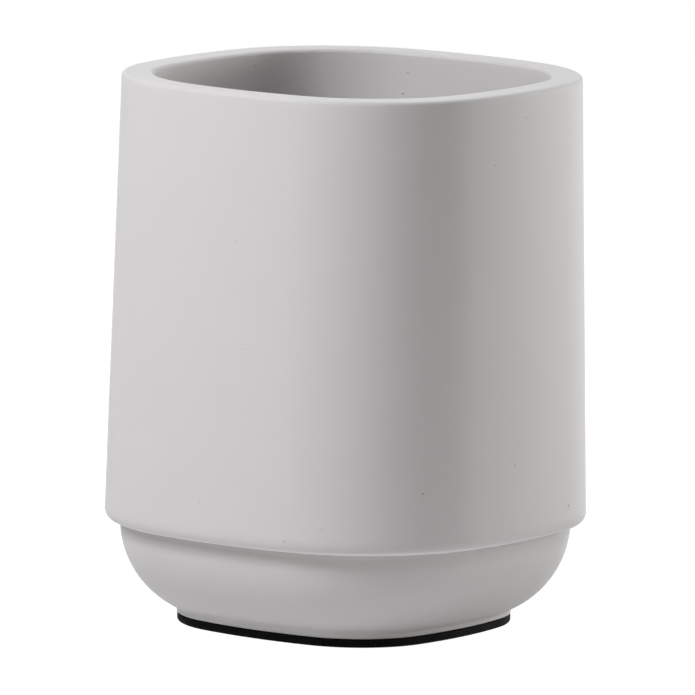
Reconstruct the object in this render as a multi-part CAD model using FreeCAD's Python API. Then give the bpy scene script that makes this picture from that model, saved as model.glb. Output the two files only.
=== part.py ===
# Bathroom tumbler: a one-piece cast cup on a stuck-on foot pad.
# Millimetres, +Z up. The origin is the middle of the pad's underside, and the sides face X and Y.
# Every level of the tumbler is a parallel curve of one plan, a square with bowed sides and round
# corners, so each piece is a profile that runs once round that plan.
import FreeCAD, Part
import math
import os

# The whole tumbler
height = 100.0

# The plan, taken on the outside of the skirt just above its lower edge
body_width = 81.4
corner_radius = 30.6
side_bow_radius = 90.0

# Outside of the cup body
wall_lean = 2.1
skirt_edge_radius = 1.6
skirt_overhang = 2.8
step_height = 18.6
foot_width = 54.7
neck_height = 0.3
neck_fillet_radius = 0.9

# Rim of the cup body
rim_width = 5.8
rim_outer_radius = 0.8
rim_inner_radius = 0.8

# Inside of the cup body
floor_thickness = 11.0
floor_bevel = 4.0

# Foot pad and its adhesive film
pad_thickness = 1.5
pad_inset = 0.1
film_thickness = 0.2
film_inset = 0.8

# Levels and offsets that follow from the sizes above. An offset is a distance out from the plan.
film_level = pad_thickness
foot_level = film_level + film_thickness
floor_level = foot_level + floor_thickness
foot_offset = (foot_width - body_width) / 2
rim_outer_offset = -wall_lean
cavity_offset = rim_outer_offset - rim_width
pad_offset = foot_offset - pad_inset
film_offset = pad_offset - film_inset

UP = FreeCAD.Vector(0, 0, 1)
ORIGIN = FreeCAD.Vector(0, 0, 0)
QUARTER_TURN = 90.0
SIDES = 4


def plan_arcs():
    """The plan as tangent arcs: (centre, radius, start angle, turn), anticlockwise, in degrees."""
    side_centre = body_width / 2 - side_bow_radius
    centre_gap = side_bow_radius - corner_radius
    corner_centre = (side_centre + math.sqrt(2 * centre_gap ** 2 - side_centre ** 2)) / 2
    half_side = math.degrees(math.atan2(corner_centre, corner_centre - side_centre))
    arcs = []
    for side in range(SIDES):
        facing = side * QUARTER_TURN
        turned = FreeCAD.Rotation(UP, facing)
        middle = turned.multVec(FreeCAD.Vector(side_centre, 0, 0))
        corner = turned.multVec(FreeCAD.Vector(corner_centre, corner_centre, 0))
        arcs.append((middle, side_bow_radius, facing - half_side, 2 * half_side))
        arcs.append((corner, corner_radius, facing + half_side, QUARTER_TURN - 2 * half_side))
    return arcs


def around_plan(edge):
    """What an edge, drawn with its offset as X and its level as Z, sweeps round each arc of the plan."""
    swept = []
    for centre, radius, start, turn in plan_arcs():
        drawn = edge.copy()
        drawn.translate(FreeCAD.Vector(radius, 0, 0))
        face = drawn.revolve(ORIGIN, UP, turn)
        face.rotate(ORIGIN, UP, start)
        face.translate(centre)
        swept.append(face)
    return swept


def flat_face(offset, level):
    """A flat face that fills the plan at one offset and level."""
    edges = []
    for centre, radius, start, turn in plan_arcs():
        middle = FreeCAD.Vector(centre.x, centre.y, level)
        edges.append(Part.makeCircle(radius + offset, middle, UP, start, start + turn))
    return Part.Face(Part.Wire(edges))


def at(offset, level):
    """A point of a profile."""
    return FreeCAD.Vector(offset, 0, level)


def line(start, end):
    """A straight edge of a profile."""
    return Part.makeLine(start, end)


def halfway(start, end, centre):
    """The middle of the arc that turns the short way about a centre."""
    from_start = start - centre
    from_end = end - centre
    return centre + (from_start + from_end).normalize() * from_start.Length


def arc(start, end, centre):
    """A round edge of a profile, in two halves so that its facets stay few."""
    middle = halfway(start, end, centre)
    halves = [(start, middle), (middle, end)]
    return [Part.Arc(first, halfway(first, last, centre), last).toShape() for first, last in halves]


def rounded_corner(before, corner, after, radius):
    """The start, end and centre of the arc that rounds a corner between two straight runs."""
    back = (before - corner).normalize()
    ahead = (after - corner).normalize()
    half_angle = back.getAngle(ahead) / 2
    run = radius / math.tan(half_angle)
    centre = corner + (back + ahead).normalize() * (radius / math.sin(half_angle))
    return corner + back * run, corner + ahead * run, centre


def base_profile():
    """The recessed base, from the foot's edge through the neck's fillet and up a round bowl."""
    bowl_top = at(-skirt_overhang, step_height)
    foot_edge = at(foot_offset, foot_level)
    neck_top = at(foot_offset, foot_level + neck_height)
    fillet_centre = neck_top + at(neck_fillet_radius, 0)
    # The bowl leaves the step straight down and meets the fillet in a tangent, which gives its radius.
    inward = bowl_top.x - fillet_centre.x
    drop = bowl_top.z - fillet_centre.z
    reach = inward ** 2 + drop ** 2 - neck_fillet_radius ** 2
    bowl_radius = reach / (2 * (neck_fillet_radius + inward))
    bowl_centre = bowl_top - at(bowl_radius, 0)
    bowl_foot = bowl_centre + (fillet_centre - bowl_centre).normalize() * bowl_radius
    neck = [line(foot_edge, neck_top)] + arc(neck_top, bowl_foot, fillet_centre)
    return neck + arc(bowl_foot, bowl_top, bowl_centre)


def wall_profile():
    """The step, the skirt and wall, the rim, and the cavity down to the edge of its flat floor."""
    corners = [
        (at(0, step_height), skirt_edge_radius),
        (at(rim_outer_offset, height), rim_outer_radius),
        (at(cavity_offset, height), rim_inner_radius),
    ]
    start = at(-skirt_overhang, step_height)
    cavity_foot = at(cavity_offset, floor_level + floor_bevel)
    floor_edge = at(cavity_offset - floor_bevel, floor_level)
    stops = [start] + [corner for corner, radius in corners] + [cavity_foot]
    edges = []
    reached = start
    for index, (corner, radius) in enumerate(corners):
        arc_start, arc_end, centre = rounded_corner(stops[index], corner, stops[index + 2], radius)
        edges.append(line(reached, arc_start))
        edges.extend(arc(arc_start, arc_end, centre))
        reached = arc_end
    return edges + [line(reached, cavity_foot), line(cavity_foot, floor_edge)]


def closed_solid(profile):
    """A profile swept round the plan and closed by flat faces at its two ends."""
    first = profile[0].Vertexes[0].Point
    last = profile[-1].Vertexes[-1].Point
    faces = [flat_face(first.x, first.z), flat_face(last.x, last.z)]
    for edge in profile:
        faces.extend(around_plan(edge))
    skin = Part.Compound(faces)
    skin.sewShape()
    solid = Part.makeSolid(skin.Shells[0])
    if solid.Volume < 0:
        solid.reverse()
    return solid


def cup_body():
    """The cast cup: base, skirt, wall, rim and cavity in one piece."""
    return closed_solid(base_profile() + wall_profile())


def foot_pad():
    """The die-cut pad that the cup stands on."""
    return closed_solid([line(at(pad_offset, 0), at(pad_offset, pad_thickness))])


def pad_adhesive():
    """The film between the pad and the foot, kept back from the pad's edge."""
    return closed_solid([line(at(film_offset, film_level), at(film_offset, foot_level))])


os.makedirs("parts", exist_ok=True)
for name, shape in (("cup_body", cup_body()), ("pad_adhesive", pad_adhesive()), ("foot_pad", foot_pad())):
    box = shape.optimalBoundingBox()
    print(name, shape.isValid(), "solids", len(shape.Solids), "faces", len(shape.Faces),
          "volume %.1f" % shape.Volume, "z %.2f to %.2f" % (box.ZMin, box.ZMax), "x %.2f" % box.XLength)
    shape.exportStep("parts/" + name + ".step")
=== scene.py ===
"""Bathroom tumbler: the cast cup and its foot pad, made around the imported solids, in a studio."""
import logging
import math
import random
from dataclasses import dataclass, field
from enum import Enum
from typing import Any, Optional, Union

import bpy
from mathutils import Matrix, Vector


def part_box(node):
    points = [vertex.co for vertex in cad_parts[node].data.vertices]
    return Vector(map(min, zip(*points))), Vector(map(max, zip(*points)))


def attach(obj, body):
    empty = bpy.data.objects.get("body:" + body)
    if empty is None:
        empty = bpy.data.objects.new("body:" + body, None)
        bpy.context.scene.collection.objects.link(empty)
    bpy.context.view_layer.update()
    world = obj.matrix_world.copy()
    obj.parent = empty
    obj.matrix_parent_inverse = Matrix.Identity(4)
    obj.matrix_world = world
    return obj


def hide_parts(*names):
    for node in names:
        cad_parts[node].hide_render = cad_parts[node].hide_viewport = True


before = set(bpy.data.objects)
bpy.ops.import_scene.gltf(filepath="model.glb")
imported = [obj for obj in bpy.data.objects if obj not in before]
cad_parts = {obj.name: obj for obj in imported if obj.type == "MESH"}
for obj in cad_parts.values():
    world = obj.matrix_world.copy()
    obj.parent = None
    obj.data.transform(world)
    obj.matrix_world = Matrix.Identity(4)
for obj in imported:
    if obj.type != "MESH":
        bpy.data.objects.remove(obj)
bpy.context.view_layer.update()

log = logging.getLogger("tumbler")

Socket = bpy.types.NodeSocket
Feed = Union[Socket, float, int, bool, str, tuple, bpy.types.ID]
Range = tuple[float, float]
Tint = tuple[float, float, float]
Colour = tuple[float, float, float, float]

MM = 0.001
ROOT_BODY = "root"
QUARTERS = 4
QUARTER_TURN = math.tau / QUARTERS
# What a ramp's ends become, and the range that most values of soft noise lie in
RISE: Range = (0.0, 1.0)
FALL: Range = (1.0, 0.0)
MOST_NOISE: Range = (0.3, 0.7)
# Tints of light, and colours
COOL: Tint = (1.0, 1.0, 1.03)
WARM: Tint = (1.0, 1.0, 0.968)
AMBER: Tint = (1.0, 1.0, 0.91)
BLACK: Colour = (0.0, 0.0, 0.0, 1.0)
WHITE: Colour = (1.0, 1.0, 1.0, 1.0)


class Node(str, Enum):
    """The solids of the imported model."""

    CUP = "cup_body"
    FILM = "pad_adhesive"
    PAD = "foot_pad"


class Slot(str, Enum):
    """The names of the record's material slots for the cast body and the pad."""

    CAST = "cast_body"
    RUBBER = "pad"


class Face(Enum):
    """The face of the cup's wall that a pinhole is in."""

    OUTSIDE = "outside"
    INSIDE = "inside"


class Mix(str, Enum):
    """What a mix is made of."""

    NUMBERS = "FLOAT"
    COLOURS = "RGBA"
    VECTORS = "VECTOR"


class Input(str, Enum):
    """The kinds of input that a recipe has."""

    GEOMETRY = "NodeSocketGeometry"
    NUMBER = "NodeSocketFloat"
    COUNT = "NodeSocketInt"
    OBJECT = "NodeSocketObject"
    MATERIAL = "NodeSocketMaterial"


class Wiring:
    """Adds nodes to a tree and wires them, for finishes and for shapes alike."""

    def __init__(self, tree: bpy.types.NodeTree) -> None:
        """Keeps the shader or geometry tree that the nodes go into."""
        self.tree = tree

    @staticmethod
    def socket(sockets: Any, key: Union[int, str]) -> Socket:
        """Finds a socket by its place or its name.

        Args:
            sockets: a node's inputs or outputs.
            key: the place, or the name, which is looked for among the sockets in use first.

        Returns:
            The socket.
        """
        if isinstance(key, int):
            return sockets[key]
        named = [each for each in sockets if each.name == key]
        return next((each for each in named if each.enabled), named[0])

    def feed(self, target: Socket, value: Feed) -> None:
        """Gives an input a link or a constant.

        Args:
            target: the input.
            value: an output to link from, or the constant.
        """
        if isinstance(value, Socket):
            self.tree.links.new(value, target)
        else:
            target.default_value = value

    def node(self, kind: str, feeds: Optional[dict] = None, **settings: Any) -> bpy.types.Node:
        """Adds a node.

        Args:
            kind: the node's type.
            feeds: what goes into its inputs, by name or place.
            settings: the node's own properties.

        Returns:
            The node.
        """
        made = self.tree.nodes.new(kind)
        for name, value in settings.items():
            setattr(made, name, value)
        for key, value in (feeds or {}).items():
            self.feed(self.socket(made.inputs, key), value)
        return made

    def out(
        self, kind: str, feeds: Optional[dict] = None, output: Union[int, str] = 0, **settings: Any
    ) -> Socket:
        """Adds a node and gives one of its outputs, by place or name."""
        return self.socket(self.node(kind, feeds, **settings).outputs, output)

    def math(self, operation: str, *values: Feed) -> Socket:
        """Adds a sum on numbers, taken in order, and gives its result."""
        return self.out("ShaderNodeMath", dict(enumerate(values)), operation=operation)

    def scaled(self, vector: Feed, share: Feed) -> Socket:
        """A vector times a number."""
        feeds = {"Vector": vector, "Scale": share}
        return self.out("ShaderNodeVectorMath", feeds, operation="SCALE")

    def split(self, vector: Socket) -> Any:
        """The X, Y and Z of a vector."""
        return self.node("ShaderNodeSeparateXYZ", {"Vector": vector}).outputs

    def mix(self, kind: Mix, share: Feed, first: Feed, second: Feed) -> Socket:
        """What lies at a share of the way from the first to the second."""
        feeds = {"Factor": share, "A": first, "B": second}
        return self.out("ShaderNodeMix", feeds, "Result", data_type=kind.value)

    def clouds(self, place: Socket, size: float, detail: float) -> Socket:
        """Soft noise from 0 to 1, in clouds of a width in metres with finer layers on them."""
        feeds = {"Vector": place, "Scale": 1 / size, "Detail": detail}
        return self.out("ShaderNodeTexNoise", feeds)

    def ramp(self, value: Socket, span: Range, to: Range) -> Socket:
        """Maps a number from one range to another and stops at its ends.

        Args:
            value: the number.
            span: the range that it is in.
            to: what the two ends of that range become.

        Returns:
            The mapped number.
        """
        feeds = {
            "Value": value, "From Min": span[0], "From Max": span[1],
            "To Min": to[0], "To Max": to[1],
        }
        return self.out("ShaderNodeMapRange", feeds)

    def seen_directly(self) -> Socket:
        """Asks whether a ray comes from the camera, or from it by a mirror or through glass.

        Returns:
            1 for such a ray and 0 for the rest.
        """
        path = self.node("ShaderNodeLightPath").outputs
        mirrored = self.math("MAXIMUM", path["Is Camera Ray"], path["Is Glossy Ray"])
        return self.math("MAXIMUM", mirrored, path["Is Transmission Ray"])


@dataclass(frozen=True)
class Plan:
    """The soft square that every level is a parallel curve of: bowed sides and round corners."""

    width: float = 81.4 * MM
    corner_radius: float = 30.6 * MM
    side_radius: float = 90.0 * MM

    @property
    def side_centre(self) -> float:
        """How far along its own axis the centre of a side's bow lies."""
        return self.width / 2 - self.side_radius

    @property
    def corner_centre(self) -> float:
        """How far along X and along Y a corner's centre lies, so that sides meet it in tangents."""
        gap = self.side_radius - self.corner_radius
        return (self.side_centre + math.sqrt(2 * gap ** 2 - self.side_centre ** 2)) / 2

    @property
    def half_side(self) -> float:
        """Half of the angle that a side's bow turns through."""
        return math.atan2(self.corner_centre, self.corner_centre - self.side_centre)

    @property
    def side_share(self) -> float:
        """Compares the lengths of a side and of a corner.

        Returns:
            The share of a quarter's length that is side.
        """
        side = 2 * self.half_side * self.side_radius
        corner = (QUARTER_TURN - 2 * self.half_side) * self.corner_radius
        return side / (side + corner)

    def amounts(self) -> dict[str, float]:
        """Lists the sizes for a recipe.

        Returns:
            The sizes, by the names of the recipe's inputs.
        """
        return {
            "Side Centre": self.side_centre, "Corner Centre": self.corner_centre,
            "Side Radius": self.side_radius, "Corner Radius": self.corner_radius,
            "Half Side": self.half_side, "Side Share": self.side_share,
        }

    def spot(self, turn: float, offset: float, level: float) -> Vector:
        """Finds a point of a parallel curve.

        Args:
            turn: the direction that the curve faces there, in radians from +X.
            offset: how far out from the plan it is.
            level: how high it is.

        Returns:
            The point.
        """
        quarter = round(turn / QUARTER_TURN)
        local = turn - quarter * QUARTER_TURN
        if abs(local) < self.half_side:
            centre, radius = Vector((self.side_centre, 0, 0)), self.side_radius
        else:
            across = math.copysign(self.corner_centre, local)
            centre, radius = Vector((self.corner_centre, across, 0)), self.corner_radius
        reach = radius + offset
        flat = centre + Vector((reach * math.cos(local), reach * math.sin(local), 0))
        return Matrix.Rotation(quarter * QUARTER_TURN, 3, "Z") @ flat + Vector((0, 0, level))


class Outline:
    """A profile drawn in one stroke. A spot is how far out from the plan it lies, and how high."""

    def __init__(self, start: Vector, pitch: float) -> None:
        """Puts the pen down. The pitch is the longest step on a straight run."""
        self.spots = [start]
        self.pitch = pitch

    def run(self, end: Vector) -> None:
        """Draws a straight run.

        Args:
            end: where it ends.
        """
        start = self.spots[-1]
        steps = max(1, math.ceil((end - start).length / self.pitch))
        self.spots += [start.lerp(end, step / steps) for step in range(1, steps + 1)]

    def bend(self, end: Vector, centre: Vector, steps: int) -> None:
        """Draws an arc, the short way about its centre.

        Args:
            end: where it ends.
            centre: its centre.
            steps: how many steps it has.
        """
        arm = self.spots[-1] - centre
        angle = arm.angle_signed(end - centre)
        for step in range(1, steps + 1):
            turned = Matrix.Rotation(-angle * step / steps, 2) @ arm
            self.spots.append(centre + turned)

    def corner(self, corner: Vector, after: Vector, radius: float, steps: int) -> None:
        """Runs to a corner and goes round it.

        Args:
            corner: where the two straight runs would meet.
            after: a spot on the run that follows.
            radius: the corner's radius.
            steps: how many steps the round has.
        """
        back = (self.spots[-1] - corner).normalized()
        ahead = (after - corner).normalized()
        half = back.angle(ahead) / 2
        centre = corner + (back + ahead).normalized() * (radius / math.sin(half))
        self.run(corner + back * (radius / math.tan(half)))
        self.bend(corner + ahead * (radius / math.tan(half)), centre, steps)


class Recipe(Wiring):
    """A geometry node tree that carries a profile round the plan."""

    WELD = 0.002 * MM

    def __init__(self, name: str) -> None:
        """Starts an empty tree.

        Args:
            name: the tree's name.
        """
        super().__init__(bpy.data.node_groups.new(name, "GeometryNodeTree"))
        self.entry = self.tree.nodes.new("NodeGroupInput")
        kind = Input.GEOMETRY.value
        self.tree.interface.new_socket("Geometry", in_out="OUTPUT", socket_type=kind)

    def input(self, name: str, kind: Input) -> Socket:
        """Adds a named input and gives the socket that the tree reads it from."""
        self.tree.interface.new_socket(name, in_out="INPUT", socket_type=kind.value)
        return self.entry.outputs[name]

    def attribute(self, name: str, kind: str) -> Socket:
        """Reads an attribute of the mesh."""
        feeds = {"Name": name}
        return self.out("GeometryNodeInputNamedAttribute", feeds, "Attribute", data_type=kind)

    def quarter_spot(self, here: Socket, offset: Socket) -> Socket:
        """Finds a place on a parallel curve of the plan, in the quarter that starts on +X's side.

        Args:
            here: how much of the quarter's length has gone by: first its side, then its corner.
            offset: how far out from the plan the curve is.

        Returns:
            The place, at level 0.
        """
        side_centre = self.input("Side Centre", Input.NUMBER)
        corner_centre = self.input("Corner Centre", Input.NUMBER)
        side_radius = self.input("Side Radius", Input.NUMBER)
        corner_radius = self.input("Corner Radius", Input.NUMBER)
        half_side = self.input("Half Side", Input.NUMBER)
        side_share = self.input("Side Share", Input.NUMBER)
        past_side = self.math("GREATER_THAN", here, side_share)
        on_side = self.math("DIVIDE", here, side_share)
        side_turn = self.math("MULTIPLY", half_side, self.math("MULTIPLY_ADD", on_side, 2, -1))
        beyond = self.math("SUBTRACT", here, side_share)
        on_corner = self.math("DIVIDE", beyond, self.math("SUBTRACT", 1, side_share))
        corner_span = self.math("MULTIPLY_ADD", half_side, -2, QUARTER_TURN)
        corner_turn = self.math("MULTIPLY_ADD", on_corner, corner_span, half_side)
        turn = self.mix(Mix.NUMBERS, past_side, side_turn, corner_turn)
        radius = self.mix(Mix.NUMBERS, past_side, side_radius, corner_radius)
        reach = self.math("ADD", radius, offset)
        centre_x = self.mix(Mix.NUMBERS, past_side, side_centre, corner_centre)
        centre_y = self.math("MULTIPLY", past_side, corner_centre)
        x = self.math("MULTIPLY_ADD", self.math("COSINE", turn), reach, centre_x)
        y = self.math("MULTIPLY_ADD", self.math("SINE", turn), reach, centre_y)
        return self.out("ShaderNodeCombineXYZ", {"X": x, "Y": y})

    def swept(self) -> Socket:
        """Carries the profile round the plan.

        The profile is a row of points. X is the offset, Y the share of the way out from the axis,
        and Z the level.

        Returns:
            The closed skin.
        """
        profile = self.input("Profile", Input.GEOMETRY)
        steps = self.input("Steps", Input.COUNT)
        rows = self.out(
            "GeometryNodeAttributeDomainSize", {"Geometry": profile}, "Point Count",
            component="MESH",
        )
        columns = self.math("ADD", steps, 1)
        grid = self.out("GeometryNodeMeshGrid", {"Vertices X": rows, "Vertices Y": columns})
        index = self.out("GeometryNodeInputIndex")
        row = self.math("FLOOR", self.math("DIVIDE", index, columns))
        column = self.math("SUBTRACT", index, self.math("MULTIPLY", row, columns))
        place = self.out("GeometryNodeInputPosition")
        drawn = self.out(
            "GeometryNodeSampleIndex", {"Geometry": profile, "Value": place, "Index": row}, "Value",
            data_type="FLOAT_VECTOR", domain="POINT",
        )
        offset, share, level = self.split(drawn)
        along = self.math("DIVIDE", self.math("MULTIPLY", column, QUARTERS), steps)
        quarter = self.math("FLOOR", along)
        flat = self.scaled(self.quarter_spot(self.math("SUBTRACT", along, quarter), offset), share)
        facing = self.math("MULTIPLY", quarter, QUARTER_TURN)
        turned = self.out(
            "ShaderNodeVectorRotate", {"Vector": flat, "Angle": facing}, rotation_type="Z_AXIS"
        )
        raised = self.out("ShaderNodeCombineXYZ", {"Z": level})
        spot = self.out("ShaderNodeVectorMath", {0: turned, 1: raised}, operation="ADD")
        placed = self.out("GeometryNodeSetPosition", {"Geometry": grid, "Position": spot})
        weld = {"Geometry": placed, "Distance": self.WELD}
        welded = self.out("GeometryNodeMergeByDistance", weld)
        return self.out("GeometryNodeFlipFaces", {"Mesh": welded})

    def serve(self, geometry: Socket) -> None:
        """Ends the tree: one plain mesh in one material.

        Args:
            geometry: the finished shape.
        """
        material = self.input("Material", Input.MATERIAL)
        plain = self.out("GeometryNodeRealizeInstances", {"Geometry": geometry})
        dressed = self.out("GeometryNodeSetMaterial", {"Geometry": plain, "Material": material})
        self.tree.links.new(dressed, self.tree.nodes.new("NodeGroupOutput").inputs[0])

    def cook(self, obj: bpy.types.Object, plan: Plan, amounts: dict[str, Any]) -> None:
        """Runs the tree on an object and leaves the result as its plain mesh.

        Args:
            obj: the object that holds the profile.
            plan: the plan that the profile goes round.
            amounts: the other inputs, by name.
        """
        modifier = obj.modifiers.new(self.tree.name, "NODES")
        modifier.node_group = self.tree
        values = {**plan.amounts(), **amounts}
        for item in self.tree.interface.items_tree:
            if item.in_out == "INPUT" and item.name in values:
                modifier[item.identifier] = values[item.name]
        depsgraph = bpy.context.evaluated_depsgraph_get()
        mesh = bpy.data.meshes.new_from_object(obj.evaluated_get(depsgraph), depsgraph=depsgraph)
        obj.modifiers.clear()
        profile, obj.data = obj.data, mesh
        bpy.data.meshes.remove(profile)


class CastRecipe(Recipe):
    """The cup's tree: the swept skin, a little uneven as a casting is, with pinholes cut in it."""

    SIZE = "size"
    PIT = "pit"
    BALL_ROUNDS = 2
    BROAD = 22 * MM
    BROAD_DETAIL = 1.0
    FINE = 2.6 * MM
    FINE_DETAIL = 2.0

    def __init__(self) -> None:
        """Builds the tree."""
        super().__init__("cast_cup")
        skin = self.swept()
        self.serve(self.pitted(self.uneven(skin)))

    def uneven(self, skin: Socket) -> Socket:
        """Lets the skin lie a little inside its true form, most of all on the skirt's lower edge.

        Args:
            skin: the true form.

        Returns:
            The uneven skin.
        """
        swell = self.input("Swell", Input.NUMBER)
        chatter = self.input("Edge Chatter", Input.NUMBER)
        edge_low = self.input("Edge Foot", Input.NUMBER)
        edge_high = self.input("Edge Top", Input.NUMBER)
        place = self.out("GeometryNodeInputPosition")
        normal = self.out("GeometryNodeInputNormal")
        broad = self.clouds(place, self.BROAD, self.BROAD_DETAIL)
        fine = self.clouds(place, self.FINE, self.FINE_DETAIL)
        level = self.split(place)["Z"]
        above = self.math("GREATER_THAN", level, edge_low)
        below = self.math("LESS_THAN", level, edge_high)
        on_edge = self.math("MULTIPLY", above, below)
        sink = self.math("MULTIPLY", self.math("MULTIPLY", fine, chatter), on_edge)
        depth = self.math("MULTIPLY_ADD", broad, swell, sink)
        shift = self.scaled(normal, self.math("MULTIPLY", depth, -1))
        return self.out("GeometryNodeSetPosition", {"Geometry": skin, "Offset": shift})

    def bubbles(self) -> Socket:
        """Puts a ball at each point of the pinholes' object, as large as its size there.

        Returns:
            The balls, with their faces marked.
        """
        holes = self.input("Pinholes", Input.OBJECT)
        points = self.out("GeometryNodeObjectInfo", {"Object": holes}, "Geometry")
        rounds = {"Radius": 1.0, "Subdivisions": self.BALL_ROUNDS}
        ball = self.out("GeometryNodeMeshIcoSphere", rounds)
        size = self.attribute(self.SIZE, "FLOAT")
        spread = {"Points": points, "Instance": ball, "Scale": size}
        balls = self.out("GeometryNodeInstanceOnPoints", spread)
        solid = self.out("GeometryNodeRealizeInstances", {"Geometry": balls})
        return self.out(
            "GeometryNodeStoreNamedAttribute", {"Geometry": solid, "Name": self.PIT, "Value": True},
            data_type="BOOLEAN", domain="FACE",
        )

    def pitted(self, skin: Socket) -> Socket:
        """Cuts the bubbles out of the skin.

        Args:
            skin: the skin.

        Returns:
            The skin with sharp-edged pits, which keeps its own smooth normals around them.
        """
        cut = self.out(
            "GeometryNodeMeshBoolean", {"Mesh 1": skin, "Mesh 2": self.bubbles()},
            operation="DIFFERENCE", solver="EXACT",
        )
        in_pit = self.attribute(self.PIT, "BOOLEAN")
        smooth = self.out("FunctionNodeBooleanMath", {0: in_pit}, operation="NOT")
        shaded = self.out("GeometryNodeSetShadeSmooth", {0: cut, "Shade Smooth": smooth})
        whole = self.out("GeometryNodeSetShadeSmooth", {0: skin, "Shade Smooth": True})
        normal = self.out("GeometryNodeInputNormal")
        around = self.out(
            "GeometryNodeSampleNearestSurface", {"Mesh": whole, "Value": normal}, "Value",
            data_type="FLOAT_VECTOR",
        )
        facing = self.mix(Mix.VECTORS, in_pit, around, normal)
        return self.out(
            "GeometryNodeSetMeshNormal", {"Mesh": shaded, "Custom Normal": facing},
            mode="FREE", domain="CORNER",
        )


class PadRecipe(Recipe):
    """The foot pad's tree: the swept skin alone."""

    def __init__(self) -> None:
        """Builds the tree."""
        super().__init__("foot_pad_sweep")
        skin = self.swept()
        self.serve(self.out("GeometryNodeSetShadeSmooth", {0: skin, "Shade Smooth": True}))


class Coat(Wiring):
    """The tree of a new material."""

    def __init__(self, name: str) -> None:
        """Makes the material.

        Args:
            name: its name.
        """
        self.material = bpy.data.materials.new(name)
        self.material.use_nodes = True
        super().__init__(self.material.node_tree)

    def place(self) -> Socket:
        """Where a point lies on its piece."""
        return self.out("ShaderNodeTexCoord", output="Object")

    def bump(self, height: Socket, strength: float, depth: float) -> Socket:
        """The normal of a surface that follows a height."""
        feeds = {"Height": height, "Strength": strength, "Distance": depth}
        return self.out("ShaderNodeBump", feeds)

    def shade(self, feeds: dict[str, Feed]) -> bpy.types.Material:
        """Feeds the material's shader.

        Args:
            feeds: what goes into its inputs, by name.

        Returns:
            The material.
        """
        shader = self.tree.nodes["Principled BSDF"]
        for name, value in feeds.items():
            self.feed(shader.inputs[name], value)
        return self.material


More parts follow.
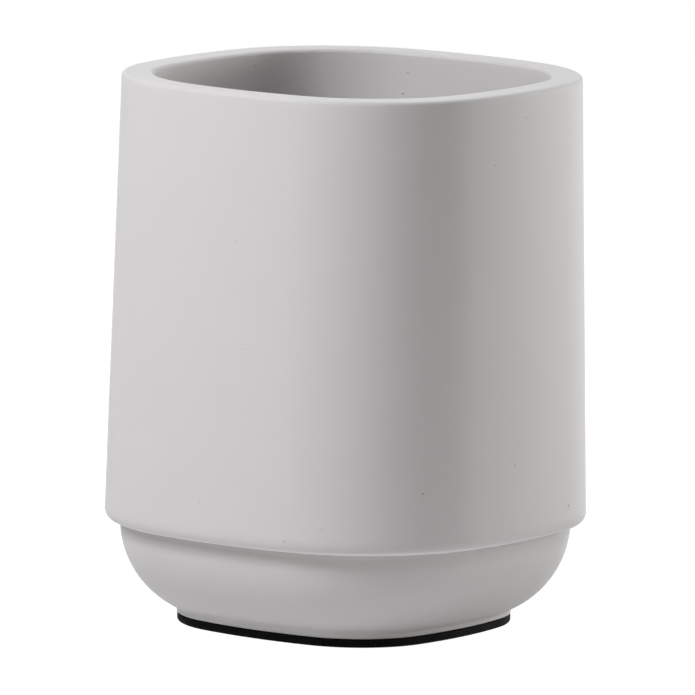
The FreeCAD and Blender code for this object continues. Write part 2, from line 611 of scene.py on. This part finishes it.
@dataclass(frozen=True)
class CastFinish:
    """Matte pale grey mineral, clouded and grained, with a painted highlight along its edges and
    painted shade under the skirt.
    """

    light: Colour = (0.676, 0.658, 0.654, 1.0)
    dark: Colour = (0.664, 0.647, 0.643, 1.0)
    # Paler colour painted as a highlight along the skirt's lower edge and on the rim
    painted_highlight: Colour = (0.87, 0.857, 0.853, 1.0)
    # Darker colour painted as shade in the corner under the skirt
    painted_shade: Colour = (0.53, 0.514, 0.508, 1.0)
    cloud: float = 11 * MM
    cloud_detail: float = 4.0
    cloud_share: float = 0.7
    grain: float = 0.45 * MM
    grain_detail: float = 3.0
    grain_share: float = 0.3
    # Heights above the step at which the skirt's painted highlight starts to fade and is gone
    skirt_fade: Range = (0.225 * MM, 0.9 * MM)
    # Depths under the top at which the rim's painted highlight starts and is full
    rim_fade: Range = (0.3 * MM, 0.09 * MM)
    # How strong the rim's painted highlight is, as a share of the skirt's
    rim_highlight_share: float = 0.46
    # How far under the step the painted shade reaches
    painted_shade_height: float = 3.6 * MM
    # How far under its level the step still counts as the skirt's
    step_slack: float = 0.009 * MM
    roughness: Range = (0.5, 0.62)
    specular: float = 0.4
    bump_strength: float = 0.22
    bump_depth: float = 0.05 * MM

    def painted_highlight_share(
        self, coat: Coat, level: Socket, outer: Socket, step_level: float, rim_level: float
    ) -> Socket:
        """How far the colour is lightened as a painted highlight: along the skirt's lower edge, and
        less on the rim.

        Args:
            coat: the material's tree.
            level: how high the surface is.
            outer: 1 on the outside and 0 in the cavity.
            step_level: how high the step under the skirt is.
            rim_level: how high the rim is.

        Returns:
            The share, from 0 to 1.
        """
        on_skirt = coat.math("GREATER_THAN", level, step_level - self.step_slack)
        above = coat.math("MULTIPLY", outer, on_skirt)
        full, gone = self.skirt_fade
        fade = coat.ramp(level, (step_level + full, step_level + gone), FALL)
        start, end = self.rim_fade
        rim = coat.ramp(level, (rim_level - start, rim_level - end), (0.0, self.rim_highlight_share))
        return coat.math("MULTIPLY_ADD", above, fade, rim)

    def painted_shade_share(self, coat: Coat, level: Socket, outer: Socket, step_level: float) -> Socket:
        """How far the colour is darkened as painted shade in the corner under the skirt.

        Args:
            coat: the material's tree.
            level: how high the surface is.
            outer: 1 on the outside and 0 in the cavity.
            step_level: how high the step under the skirt is.

        Returns:
            The share, from 0 to 1.
        """
        on_base = coat.math("LESS_THAN", level, step_level - self.step_slack)
        below = coat.math("MULTIPLY", outer, on_base)
        fade = coat.ramp(level, (step_level - self.painted_shade_height, step_level), RISE)
        return coat.math("MULTIPLY", below, fade)

    def make(self, step_level: float, rim_level: float, outer_reach: float) -> bpy.types.Material:
        """Makes the material.

        Args:
            step_level: how high the step under the skirt is.
            rim_level: how high the rim is.
            outer_reach: a distance from the axis that lies between the cavity and the outside.

        Returns:
            The material.
        """
        coat = Coat("cast_mineral")
        place = coat.place()
        clouds = coat.clouds(place, self.cloud, self.cloud_detail)
        grain = coat.clouds(place, self.grain, self.grain_detail)
        clouded = coat.math("MULTIPLY", clouds, self.cloud_share)
        tone = coat.math("MULTIPLY_ADD", grain, self.grain_share, clouded)
        x, y, level = coat.split(place)
        flat = coat.out("ShaderNodeCombineXYZ", {"X": x, "Y": y})
        reach = coat.out("ShaderNodeVectorMath", {0: flat}, "Value", operation="LENGTH")
        outer = coat.math("GREATER_THAN", reach, outer_reach)
        # Share of painted shade under the skirt
        painted_shade_share = self.painted_shade_share(coat, level, outer, step_level)
        # Share of painted highlight on the skirt's lower edge and on the rim
        painted_highlight_share = self.painted_highlight_share(coat, level, outer, step_level, rim_level)
        colour = coat.mix(
            Mix.COLOURS, coat.ramp(tone, MOST_NOISE, RISE), self.dark, self.light
        )
        colour = coat.mix(Mix.COLOURS, painted_shade_share, colour, self.painted_shade)
        return coat.shade({
            "Base Color": coat.mix(Mix.COLOURS, painted_highlight_share, colour, self.painted_highlight),
            "Roughness": coat.ramp(grain, MOST_NOISE, self.roughness),
            "Specular IOR Level": self.specular,
            "Normal": coat.bump(grain, self.bump_strength, self.bump_depth),
        })


@dataclass(frozen=True)
class RubberFinish:
    """Black non-slip sheet: matte, with a fine pebble and a little dust on its high spots."""

    black: Colour = (0.004, 0.004, 0.004, 1.0)
    dust: Colour = (0.016, 0.015, 0.014, 1.0)
    pebble: float = 0.5 * MM
    # Distances from a pebble's middle between which its dust and its height fall away
    pebble_dust: Range = (0.1, 0.6)
    pebble_dome: Range = (0.0, 0.6)
    dusting: float = 6 * MM
    dusting_detail: float = 3.0
    dusting_span: Range = (0.4, 0.7)
    dusting_share: Range = (0.1, 1.0)
    roughness: Range = (0.7, 0.9)
    specular: float = 0.05
    bump_strength: float = 0.5
    bump_depth: float = 0.06 * MM

    def make(self) -> bpy.types.Material:
        """Makes the material.

        Returns:
            The material.
        """
        coat = Coat("pad_rubber")
        place = coat.place()
        pebble = coat.out("ShaderNodeTexVoronoi", {"Vector": place, "Scale": 1 / self.pebble})
        dusting = coat.clouds(place, self.dusting, self.dusting_detail)
        high = coat.ramp(pebble, self.pebble_dust, FALL)
        dusty = coat.ramp(dusting, self.dusting_span, self.dusting_share)
        share = coat.math("MULTIPLY", high, dusty)
        dome = coat.ramp(pebble, self.pebble_dome, FALL)
        return coat.shade({
            "Base Color": coat.mix(Mix.COLOURS, share, self.black, self.dust),
            "Roughness": coat.ramp(dusting, MOST_NOISE, self.roughness),
            "Specular IOR Level": self.specular,
            "Normal": coat.bump(dome, self.bump_strength, self.bump_depth),
        })


@dataclass(frozen=True)
class FilmFinish:
    """Milky adhesive film with trapped air."""

    clear: Colour = (0.62, 0.60, 0.54, 1.0)
    milky: Colour = (0.76, 0.74, 0.68, 1.0)
    blister: float = 3 * MM
    blister_detail: float = 3.0
    blister_span: Range = (0.35, 0.65)
    roughness: Range = (0.35, 0.6)

    def make(self) -> bpy.types.Material:
        """Makes the material.

        Returns:
            The material.
        """
        coat = Coat("adhesive_film")
        air = coat.clouds(coat.place(), self.blister, self.blister_detail)
        share = coat.ramp(air, self.blister_span, RISE)
        return coat.shade({
            "Base Color": coat.mix(Mix.COLOURS, share, self.clear, self.milky),
            "Roughness": coat.ramp(air, MOST_NOISE, self.roughness),
        })


@dataclass(frozen=True)
class FloorFinish:
    """Pale studio floor that looks white and keeps a faint shadow."""

    colour: Colour = (0.8, 0.8, 0.8, 1.0)
    shadow_catch: Colour = (0.25, 0.25, 0.25, 1.0)
    whiteness: float = 0.955

    def make(self) -> bpy.types.Material:
        """Makes the material.

        Returns:
            The material.
        """
        coat = Coat("studio_floor")
        nodes = coat.tree.nodes
        nodes.remove(nodes["Principled BSDF"])
        matte = coat.out("ShaderNodeBsdfDiffuse", {"Color": self.colour})
        glow = coat.out("ShaderNodeEmission", {"Color": WHITE, "Strength": self.whiteness})
        catch = coat.out("ShaderNodeBsdfDiffuse", {"Color": self.shadow_catch})
        seen = coat.out("ShaderNodeAddShader", {0: glow, 1: catch})
        mixed = coat.out("ShaderNodeMixShader", {0: coat.seen_directly(), 1: matte, 2: seen})
        coat.feed(nodes["Material Output"].inputs["Surface"], mixed)
        return coat.material


def new_object(name: str, spots: list[Vector]) -> bpy.types.Object:
    """Adds an object that holds loose points.

    Args:
        name: its name.
        spots: the points.

    Returns:
        The object.
    """
    mesh = bpy.data.meshes.new(name)
    mesh.from_pydata(spots, [], [])
    obj = bpy.data.objects.new(name, mesh)
    bpy.context.scene.collection.objects.link(obj)
    return obj


def profile_points(
    low_cap: tuple[float, ...], outline: list[Vector], high_cap: tuple[float, ...]
) -> list[Vector]:
    """Writes an outline as a recipe reads it, closed to the axis at both ends.

    Args:
        low_cap: the shares of the way out at which the cap before the outline has points.
        outline: the spots.
        high_cap: the shares for the cap after it.

    Returns:
        The points: offset, share and level.
    """
    first, last = outline[0], outline[-1]
    points = [Vector((first.x, share, first.y)) for share in low_cap]
    points += [Vector((spot.x, 1.0, spot.y)) for spot in outline]
    return points + [Vector((last.x, share, last.y)) for share in high_cap]


@dataclass(frozen=True)
class Pinhole:
    """An air bubble left open at the surface: its turn in degrees from +X, the rest in metres."""

    face: Face
    turn: float
    level: float
    width: float


@dataclass
class CupBody:
    """The one-piece casting: recessed base, overhanging skirt, leaning wall, rim and cavity."""

    plan: Plan
    finish: CastFinish = field(default_factory=CastFinish)
    # The form
    wall_lean: float = 2.1 * MM
    skirt_edge_radius: float = 1.6 * MM
    skirt_overhang: float = 2.8 * MM
    step_level: float = 18.6 * MM
    foot_width: float = 54.7 * MM
    neck_height: float = 0.3 * MM
    neck_fillet_radius: float = 0.9 * MM
    rim_width: float = 5.8 * MM
    rim_outer_radius: float = 0.8 * MM
    rim_inner_radius: float = 0.8 * MM
    floor_thickness: float = 11.0 * MM
    floor_radius: float = 6.8 * MM
    # How finely the form is meshed
    row_pitch: float = 1.1 * MM
    columns: int = 336
    fillet_steps: int = 5
    bowl_steps: int = 20
    skirt_steps: int = 10
    rim_outer_steps: int = 6
    rim_inner_steps: int = 8
    floor_steps: int = 10
    foot_cap: tuple[float, ...] = (0.0, 0.5, 0.9)
    floor_cap: tuple[float, ...] = (0.85, 0.6, 0.3, 0.0)
    # The faults of a casting
    swell: float = 0.06 * MM
    edge_chatter: float = 0.16 * MM
    # How deep a bubble's middle lies, as a share of its radius
    pit_sink: float = 0.5
    seed: int = 11
    scattered: int = 26
    scatter_turns: Range = (30.0, 230.0)
    scatter_shares: Range = (0.24, 0.96)
    scatter_widths_mm: Range = (0.24, 0.46)
    pinholes: tuple[Pinhole, ...] = (
        Pinhole(Face.OUTSIDE, -91.6, 26.2 * MM, 0.26 * MM),
        Pinhole(Face.OUTSIDE, -87.5, 73.6 * MM, 0.26 * MM),
        Pinhole(Face.OUTSIDE, -86.2, 60.9 * MM, 0.22 * MM),
        Pinhole(Face.OUTSIDE, -86.0, 54.5 * MM, 0.22 * MM),
        Pinhole(Face.OUTSIDE, -84.0, 38.3 * MM, 0.26 * MM),
        Pinhole(Face.OUTSIDE, -77.8, 20.9 * MM, 0.36 * MM),
        Pinhole(Face.OUTSIDE, -64.6, 23.5 * MM, 0.36 * MM),
        Pinhole(Face.OUTSIDE, -30.2, 29.9 * MM, 0.42 * MM),
        Pinhole(Face.OUTSIDE, -5.7, 87.5 * MM, 0.28 * MM),
        Pinhole(Face.OUTSIDE, -2.2, 33.0 * MM, 0.34 * MM),
        Pinhole(Face.OUTSIDE, 0.1, 95.3 * MM, 0.32 * MM),
        Pinhole(Face.OUTSIDE, 9.3, 23.6 * MM, 0.44 * MM),
        Pinhole(Face.INSIDE, 97.9, 96.2 * MM, 0.38 * MM),
        Pinhole(Face.INSIDE, 98.6, 92.2 * MM, 0.38 * MM),
        Pinhole(Face.INSIDE, 171.1, 97.4 * MM, 0.34 * MM),
    )
    # What follows from the solid and from the form
    foot_level: float = field(init=False)
    height: float = field(init=False)
    floor_level: float = field(init=False)
    foot_offset: float = field(init=False)
    cavity_offset: float = field(init=False)
    outer_reach: float = field(init=False)

    def __post_init__(self) -> None:
        """Takes the height and the foot's level from the solid, and works out what follows."""
        low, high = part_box(Node.CUP.value)
        self.foot_level, self.height = low.z, high.z
        self.floor_level = self.foot_level + self.floor_thickness
        self.foot_offset = (self.foot_width - self.plan.width) / 2
        self.cavity_offset = -self.wall_lean - self.rim_width
        cavity_corner = self.plan.spot(QUARTER_TURN / 2, self.cavity_offset, 0).length
        bowl_side = self.plan.spot(0, -self.skirt_overhang, 0).length
        self.outer_reach = (cavity_corner + bowl_side) / 2

    def outline(self) -> list[Vector]:
        """Draws the outside from the foot's edge to the rim, and on down the cavity to its floor.

        Returns:
            The spots.
        """
        step = Vector((-self.skirt_overhang, self.step_level))
        neck = Vector((self.foot_offset, self.foot_level + self.neck_height))
        fillet_radius = self.neck_fillet_radius
        fillet = neck + Vector((fillet_radius, 0))
        # The bowl leaves the step straight down and meets the fillet in a tangent.
        gap = step - fillet
        bowl_radius = (gap.length_squared - fillet_radius ** 2) / (2 * (fillet_radius + gap.x))
        bowl = step - Vector((bowl_radius, 0))
        bowl_foot = bowl + (fillet - bowl).normalized() * bowl_radius
        skirt = Vector((0, self.step_level))
        rim_outside = Vector((-self.wall_lean, self.height))
        rim_inside = Vector((self.cavity_offset, self.height))
        cavity_foot = Vector((self.cavity_offset, self.floor_level))
        floor_edge = cavity_foot - Vector((self.floor_radius, 0))
        pen = Outline(Vector((self.foot_offset, self.foot_level)), self.row_pitch)
        pen.run(neck)
        pen.bend(bowl_foot, fillet, self.fillet_steps)
        pen.bend(step, bowl, self.bowl_steps)
        pen.corner(skirt, rim_outside, self.skirt_edge_radius, self.skirt_steps)
        pen.corner(rim_outside, rim_inside, self.rim_outer_radius, self.rim_outer_steps)
        pen.corner(rim_inside, cavity_foot, self.rim_inner_radius, self.rim_inner_steps)
        pen.corner(cavity_foot, floor_edge, self.floor_radius, self.floor_steps)
        return pen.spots

    def bubble_offset(self, hole: Pinhole) -> float:
        """How far out the middle of a pinhole's bubble is, sunk so that its mouth is narrow.

        Args:
            hole: the pinhole.

        Returns:
            The offset from the plan.
        """
        depth = self.pit_sink * hole.width / 2
        if hole.face is Face.INSIDE:
            return self.cavity_offset + depth
        wall_height = self.height - self.step_level
        return -self.wall_lean * (hole.level - self.step_level) / wall_height - depth

    def all_pinholes(self) -> list[Pinhole]:
        """Adds scattered pinholes on the two far sides to those that are placed one by one.

        Returns:
            The pinholes.
        """
        draw = random.Random(self.seed)
        holes = list(self.pinholes)
        for _ in range(self.scattered):
            turn = draw.uniform(*self.scatter_turns)
            level = self.height * draw.uniform(*self.scatter_shares)
            width = draw.uniform(*self.scatter_widths_mm) * MM
            holes.append(Pinhole(Face.OUTSIDE, turn, level, width))
        return holes

    def pit_points(self) -> bpy.types.Object:
        """Puts the pinholes' centres in an object, each with its size.

        Returns:
            The object.
        """
        holes = self.all_pinholes()
        spots = [
            self.plan.spot(math.radians(hole.turn), self.bubble_offset(hole), hole.level)
            for hole in holes
        ]
        obj = new_object("pinholes", spots)
        sizes = obj.data.attributes.new(CastRecipe.SIZE, "FLOAT", "POINT")
        sizes.data.foreach_set("value", [hole.width / 2 for hole in holes])
        return obj

    def build(self) -> bpy.types.Object:
        """Makes the cup and puts it in its solid's place.

        Returns:
            The cup.
        """
        points = profile_points(self.foot_cap, self.outline(), self.floor_cap)
        cup = new_object("cast_cup", points)
        pits = self.pit_points()
        CastRecipe().cook(cup, self.plan, {
            "Steps": self.columns,
            "Swell": self.swell,
            "Edge Chatter": self.edge_chatter,
            "Edge Foot": self.step_level - self.row_pitch,
            "Edge Top": self.step_level + self.skirt_edge_radius,
            "Pinholes": pits,
            "Material": self.finish.make(self.step_level, self.height, self.outer_reach),
        })
        bpy.data.objects.remove(pits)
        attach(cup, ROOT_BODY)
        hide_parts(Node.CUP.value)
        return cup


@dataclass
class FootPad:
    """The die-cut pad under the cup, and the film that holds it."""

    plan: Plan
    finish: RubberFinish = field(default_factory=RubberFinish)
    film_finish: FilmFinish = field(default_factory=FilmFinish)
    edge_radius: float = 0.5 * MM
    edge_steps: int = 5
    top_edge_radius: float = 0.25 * MM
    top_edge_steps: int = 4
    edge_band: float = 1.0 * MM
    row_pitch: float = 0.4 * MM
    columns: int = 240
    cap: tuple[float, ...] = (0.0, 0.4, 0.8, 0.95)

    def build(self) -> bpy.types.Object:
        """Makes the pad and puts it in its solid's place.

        Returns:
            The pad.
        """
        low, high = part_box(Node.PAD.value)
        offset = (high.x - low.x - self.plan.width) / 2
        edge, top_edge = Vector((offset, low.z)), Vector((offset, high.z))
        inward = Vector((self.edge_band, 0))
        pen = Outline(edge - inward, self.row_pitch)
        pen.corner(edge, top_edge, self.edge_radius, self.edge_steps)
        pen.corner(top_edge, top_edge - inward, self.top_edge_radius, self.top_edge_steps)
        pen.run(top_edge - inward)
        pad = new_object("non_slip_pad", profile_points(self.cap, pen.spots, self.cap[::-1]))
        PadRecipe().cook(pad, self.plan, {"Steps": self.columns, "Material": self.finish.make()})
        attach(pad, ROOT_BODY)
        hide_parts(Node.PAD.value)
        return pad

    def dress_film(self) -> bpy.types.Object:
        """Gives the film's own solid its finish.

        Returns:
            The film.
        """
        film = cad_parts[Node.FILM.value]
        film.data.materials.clear()
        film.data.materials.append(self.film_finish.make())
        return film


def direction(azimuth: float, elevation: float) -> Vector:
    """Which way a place round the object lies.

    Args:
        azimuth: degrees from -Y towards +X.
        elevation: degrees above the horizon.

    Returns:
        The direction from the object.
    """
    around, above = math.radians(azimuth), math.radians(elevation)
    flat = math.cos(above)
    return Vector((math.sin(around) * flat, -math.cos(around) * flat, math.sin(above)))


@dataclass(frozen=True)
class Lamp:
    """A soft box, by where it stands round the object, how wide it is and how strong."""

    name: str
    azimuth: float
    elevation: float
    width: float
    power: float
    tint: Tint
    distance: float = 0.8

    def make(self, aim: Vector) -> bpy.types.Object:
        """Sets the lamp up.

        Args:
            aim: the point that it faces.

        Returns:
            The lamp.
        """
        light = bpy.data.lights.new(self.name, "AREA")
        light.shape = "DISK"
        light.size = self.width
        light.energy = self.power
        light.color = self.tint
        lamp = bpy.data.objects.new(self.name, light)
        away = direction(self.azimuth, self.elevation)
        lamp.location = aim + away * self.distance
        lamp.rotation_euler = away.to_track_quat("Z", "Y").to_euler()
        bpy.context.scene.collection.objects.link(lamp)
        return lamp


@dataclass
class Studio:
    """The floor, the soft light and the camera."""

    floor_finish: FloorFinish = field(default_factory=FloorFinish)
    floor_size: float = 3.0
    floor_level: float = -0.05 * MM
    aim: Vector = field(default_factory=lambda: Vector((0, 0, 50 * MM)))
    azimuth: float = 36.8
    elevation: float = 8.39
    roll: float = 0.92
    distance: float = 2.151
    lens: float = 615.81
    sensor: float = 36.0
    shift: Range = (-0.0010, -0.0004)
    # Name, azimuth, elevation, width, power and tint
    lamps: tuple[Lamp, ...] = (
        Lamp("key_mid", -23.2, 48.0, 0.16, 1.93, COOL),
        Lamp("key_low", -29.2, 35.0, 0.16, 1.5, COOL),
        Lamp("key_high", -35.2, 60.0, 0.16, 0.74, COOL),
        Lamp("key_front", 0.8, 48.0, 0.16, 0.74, COOL),
        Lamp("left_low", 6.8, 5.0, 0.5, 0.41, AMBER),
        Lamp("front_low", 36.8, 5.0, 0.5, 0.41, AMBER),
        Lamp("right_edge", 136.8, 8.0, 0.16, 0.72, WARM),
        Lamp("right_low", 151.8, 3.0, 0.5, 1.66, WARM),
        Lamp("right_mid", 160.8, 8.0, 0.16, 1.0, WARM),
        Lamp("back_high", 161.8, 30.0, 0.5, 1.46, COOL),
        Lamp("back_top", 186.8, 60.0, 0.5, 0.44, COOL),
    )

    def lay_floor(self) -> bpy.types.Object:
        """Lays the floor.

        Returns:
            The floor.
        """
        reach = self.floor_size / 2
        corners = [
            Vector((x * reach, y * reach, self.floor_level))
            for x, y in ((-1, -1), (1, -1), (1, 1), (-1, 1))
        ]
        mesh = bpy.data.meshes.new("floor")
        mesh.from_pydata(corners, [], [range(len(corners))])
        mesh.materials.append(self.floor_finish.make())
        floor = bpy.data.objects.new("floor", mesh)
        bpy.context.scene.collection.objects.link(floor)
        return floor

    def light(self) -> None:
        """Sets up the lamps, and a world that looks white and lights nothing."""
        world = bpy.data.worlds.new("studio")
        world.use_nodes = True
        wiring = Wiring(world.node_tree)
        unlit = wiring.out("ShaderNodeBackground", {"Color": BLACK})
        white = wiring.out("ShaderNodeBackground", {"Color": WHITE})
        mixed = wiring.out("ShaderNodeMixShader", {0: wiring.seen_directly(), 1: unlit, 2: white})
        wiring.feed(world.node_tree.nodes["World Output"].inputs["Surface"], mixed)
        bpy.context.scene.world = world
        for lamp in self.lamps:
            lamp.make(self.aim)

    def set_camera(self) -> bpy.types.Object:
        """Sets the camera where the photograph was taken from.

        Returns:
            The camera.
        """
        data = bpy.data.cameras.new("camera")
        data.lens = self.lens
        data.sensor_width = self.sensor
        data.shift_x, data.shift_y = self.shift
        camera = bpy.data.objects.new("camera", data)
        back = direction(self.azimuth, self.elevation)
        upright = back.to_track_quat("Z", "Y").to_matrix()
        tilted = upright @ Matrix.Rotation(math.radians(self.roll), 3, "Z")
        camera.matrix_world = Matrix.Translation(self.aim + back * self.distance) @ tilted.to_4x4()
        bpy.context.scene.collection.objects.link(camera)
        bpy.context.scene.camera = camera
        return camera


def main() -> None:
    """Builds the tumbler and its studio in order."""
    logging.basicConfig(level=logging.INFO, format="%(name)s: %(message)s")
    bpy.context.scene.view_settings.view_transform = "Standard"
    studio = Studio()
    studio.set_camera()
    plan = Plan()
    foot = FootPad(plan)
    for piece in (CupBody(plan).build(), foot.build(), foot.dress_film(), studio.lay_floor()):
        log.info("%s has %d faces", piece.name, len(piece.data.polygons))
    studio.light()


if __name__ == "__main__":
    main()
